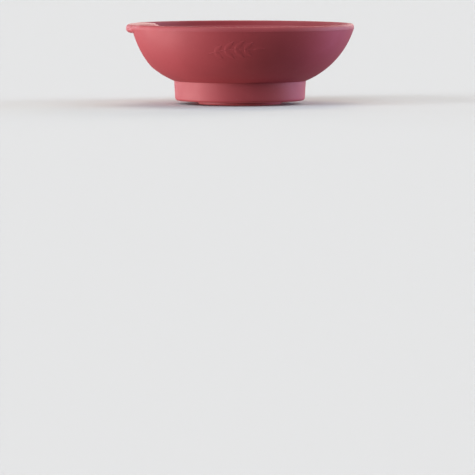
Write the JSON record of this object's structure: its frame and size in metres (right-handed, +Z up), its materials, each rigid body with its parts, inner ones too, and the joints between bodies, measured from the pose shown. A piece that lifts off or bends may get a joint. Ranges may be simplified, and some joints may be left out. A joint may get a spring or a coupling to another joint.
{
  "type": "canning funnel",
  "caption": "Wide, shallow silicone funnel for filling preserve jars, with an arched bowl, a grip tab over a finger recess, a collar that slips over a jar's neck and a short inner spout.",
  "frame": {"origin": "on the funnel's axis, on the plane of the spout's foot", "axes": "+Z up along the funnel's axis, from the spout's foot to the rim; the grip tab is on the -X side"},
  "size_m": [0.13, 0.13, 0.0457],
  "materials": {
    "silicone": "matte moulded silicone, burgundy red"
  },
  "bodies": {
    "root": {"bowl": "silicone", "rim_bead": "silicone", "grip_tab": "silicone", "jar_collar": "silicone", "inner_spout": "silicone"}
  },
  "joints": []
}
